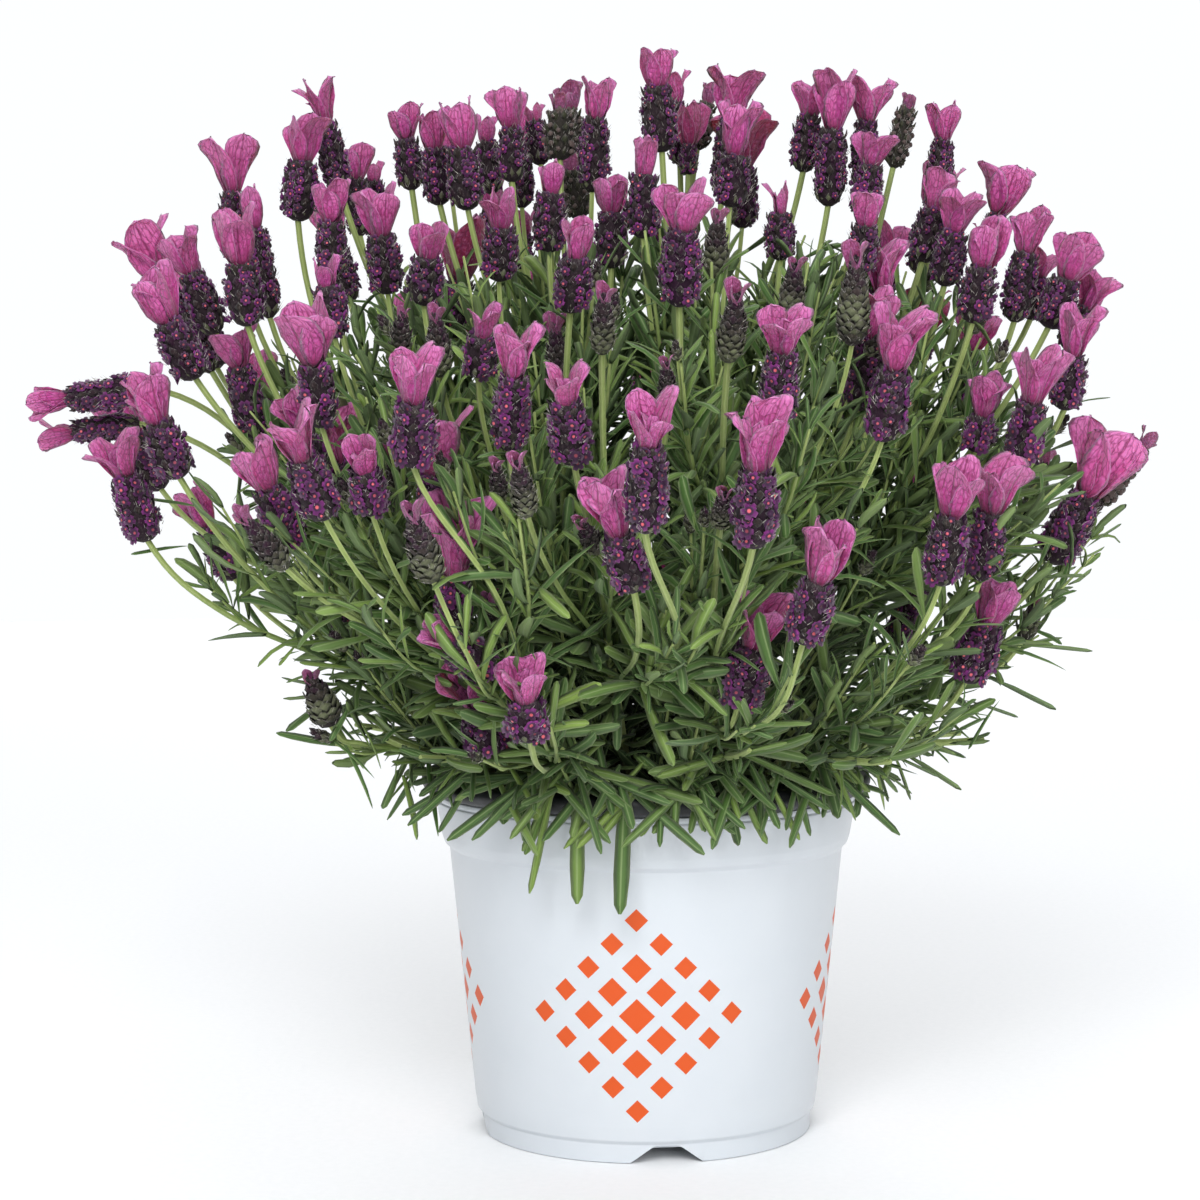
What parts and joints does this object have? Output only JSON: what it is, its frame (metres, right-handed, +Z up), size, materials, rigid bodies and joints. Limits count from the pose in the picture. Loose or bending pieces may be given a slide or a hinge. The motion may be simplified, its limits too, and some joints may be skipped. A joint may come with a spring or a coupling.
{
  "type": "potted spanish lavender",
  "caption": "Spanish lavender in bloom, a dome of upright flower spikes with showy bracts over narrow grey-green leaves, in a black grower pot nested in a white pot.",
  "frame": {"origin": "middle of the whole object's outline seen from above, on the floor; the pot's axis stands 22 mm to +X and 15.7 mm to +Y of it", "axes": "+Z up, -Y towards the front of the picture, +X to its right"},
  "size_m": [0.4756, 0.447, 0.4503],
  "materials": {
    "white_plastic": "satin",
    "black_plastic": "satin",
    "potting_mix": "matte",
    "lavender_bloom": "matte",
    "lavender_leaf": "matte"
  },
  "bodies": {
    "root": {"outer_pot": "white_plastic", "inner_pot": "black_plastic", "potting_soil": "potting_mix", "flowering_spray_01": "lavender_bloom", "flowering_spray_02": "lavender_bloom", "flowering_spray_03": "lavender_bloom", "flowering_spray_04": "lavender_bloom", "flowering_spray_05": "lavender_bloom", "flowering_spray_06": "lavender_bloom", "flowering_spray_07": "lavender_bloom", "flowering_spray_08": "lavender_bloom", "flowering_spray_09": "lavender_bloom", "flowering_spray_10": "lavender_bloom", "flowering_spray_11": "lavender_bloom", "flowering_spray_12": "lavender_bloom", "flowering_spray_13": "lavender_bloom", "flowering_spray_14": "lavender_bloom", "flowering_spray_15": "lavender_bloom", "flowering_spray_16": "lavender_bloom", "flowering_spray_17": "lavender_bloom", "flowering_spray_18": "lavender_bloom", "flowering_spray_19": "lavender_bloom", "flowering_spray_20": "lavender_bloom", "flowering_spray_21": "lavender_bloom", "flowering_spray_22": "lavender_bloom", "flowering_spray_23": "lavender_bloom", "flowering_spray_24": "lavender_bloom", "flowering_spray_25": "lavender_bloom", "flowering_spray_26": "lavender_bloom", "flowering_spray_27": "lavender_bloom", "leafy_stem_01": "lavender_leaf", "leafy_stem_02": "lavender_leaf", "leafy_stem_03": "lavender_leaf", "leafy_stem_04": "lavender_leaf", "leafy_stem_05": "lavender_leaf", "leafy_stem_06": "lavender_leaf", "leafy_stem_07": "lavender_leaf", "leafy_stem_08": "lavender_leaf", "leafy_stem_09": "lavender_leaf", "leafy_stem_10": "lavender_leaf", "leafy_stem_11": "lavender_leaf", "leafy_stem_12": "lavender_leaf", "leafy_stem_13": "lavender_leaf", "leafy_stem_14": "lavender_leaf", "leafy_stem_15": "lavender_leaf", "leafy_stem_16": "lavender_leaf", "leafy_stem_17": "lavender_leaf"}
  },
  "joints": []
}
